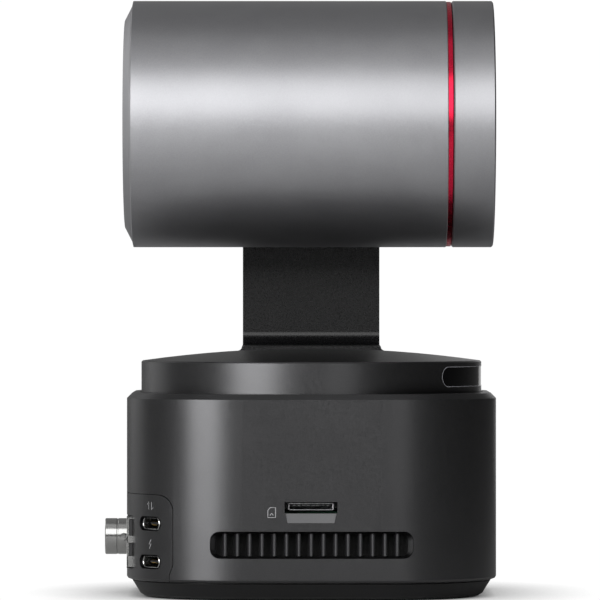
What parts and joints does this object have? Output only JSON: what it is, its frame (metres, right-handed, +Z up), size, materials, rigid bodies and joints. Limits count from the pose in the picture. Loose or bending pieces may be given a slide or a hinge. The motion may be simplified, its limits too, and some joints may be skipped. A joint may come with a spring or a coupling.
{
  "type": "ptz camera",
  "caption": "Pan-tilt-zoom camera: rounded-square base, turntable with side arm, and a tilting cylindrical head with a rolling lens module.",
  "frame": {"origin": "mouth of the tripod thread, on the pan axis, at the base's underside", "axes": "+Z up along the pan axis, +X the way the lens looks at rest, arm on +Y"},
  "size_m": [0.1045, 0.0982, 0.159],
  "materials": {
    "head_anodised": "bead-blasted and anodised, satin",
    "red_anodised": "turned and anodised, glossy",
    "base_paint": "fine satin paint",
    "arm_paint": "fine satin paint",
    "foot_plastic": "moulded matt",
    "rubber": "matt",
    "window_acrylic": "gloss",
    "vent_plastic": "moulded matt",
    "filter_foam": "open-cell, black",
    "button_plastic": "moulded satin",
    "connector_plastic": "moulded",
    "bezel_plastic": "moulded matt",
    "white_insulator": "moulded",
    "coated_glass": "anti-reflection coated",
    "nickel": "plated",
    "steel": "ground",
    "bare_aluminium": "machined",
    "brass": "turned",
    "gold_contact": "plated",
    "copper_winding": "wound and varnished",
    "circuit_board": "solder mask"
  },
  "bodies": {
    "base": {"base_shell": "base_paint", "bottom_cover": "foot_plastic", "rubber_feet": "rubber", "tripod_insert": "brass", "base_screws": "steel", "io_panel": "base_paint", "bnc_body": "nickel", "bnc_insulator": "white_insulator", "bnc_contact": "gold_contact", "rj45_shield": "nickel", "rj45_insert": "connector_plastic", "hdmi_shell": "nickel", "hdmi_tongue": "connector_plastic", "usb_shells": "nickel", "usb_tongues": "connector_plastic", "audio_jack": "connector_plastic", "card_socket": "nickel", "vent_grille_right": "vent_plastic", "vent_grille_left": "vent_plastic", "dust_filters": "filter_foam", "io_board": "circuit_board", "usb_board": "circuit_board", "main_board": "circuit_board", "heat_sink": "bare_aluminium", "fan_frame": "connector_plastic", "pan_stator": "copper_winding", "pan_bearing": "steel"},
    "fan": {"fan_rotor": "connector_plastic"},
    "button": {"power_button": "button_plastic"},
    "turret": {"turntable_shell": "base_paint", "status_window": "window_acrylic", "status_light_board": "white_insulator", "arm_shell": "arm_paint", "arm_cover": "arm_paint", "pan_rotor": "steel", "pan_shaft": "bare_aluminium", "tilt_stator": "copper_winding", "tilt_bearing": "steel"},
    "head": {"head_barrel": "head_anodised", "rear_cap": "head_anodised", "accent_ring": "red_anodised", "tilt_hub": "bare_aluminium", "tilt_rotor": "steel", "head_frame": "bare_aluminium", "head_board": "circuit_board", "roll_stator": "copper_winding", "roll_bearing": "steel"},
    "front_module": {"front_ring": "head_anodised", "front_bezel": "bezel_plastic", "front_glass": "coated_glass", "lens_barrel": "bezel_plastic", "front_lens": "coated_glass", "sensor_board": "circuit_board", "guide_rods": "steel", "roll_rotor": "steel"},
    "zoom_group": {"zoom_carrier": "bezel_plastic", "zoom_lens": "coated_glass"},
    "focus_group": {"focus_carrier": "bezel_plastic", "focus_lens": "coated_glass"}
  },
  "joints": [
    {"name": "pan", "type": "hinge", "parent": "base", "child": "turret", "pos_m": [0, 0, 0.053], "axis": [0, 0, 1], "range_deg": [-160, 160]},
    {"name": "tilt", "type": "hinge", "parent": "turret", "child": "head", "pos_m": [0, 0.0346, 0.1256], "axis": [0, -1, 0], "range_deg": [-90, 90]},
    {"name": "roll", "type": "hinge", "parent": "head", "child": "front_module", "pos_m": [0.0375, 0, 0.1256], "axis": [1, 0, 0], "range_deg": [-90, 90]},
    {"name": "zoom", "type": "slide", "parent": "front_module", "child": "zoom_group", "axis": [1, 0, 0], "range_m": [0, 0.01]},
    {"name": "focus", "type": "slide", "parent": "front_module", "child": "focus_group", "axis": [1, 0, 0], "range_m": [0, 0.005]},
    {"name": "fan_spin", "type": "hinge", "parent": "base", "child": "fan", "pos_m": [0.027, 0, 0.0075], "axis": [0, 0, 1], "continuous": true},
    {"name": "power_press", "type": "slide", "parent": "base", "child": "button", "axis": [0.766, -0.6428, 0], "range_m": [0, 0.0005], "stiffness_N_per_m": 900, "springref_m": -0.0003}
  ]
}
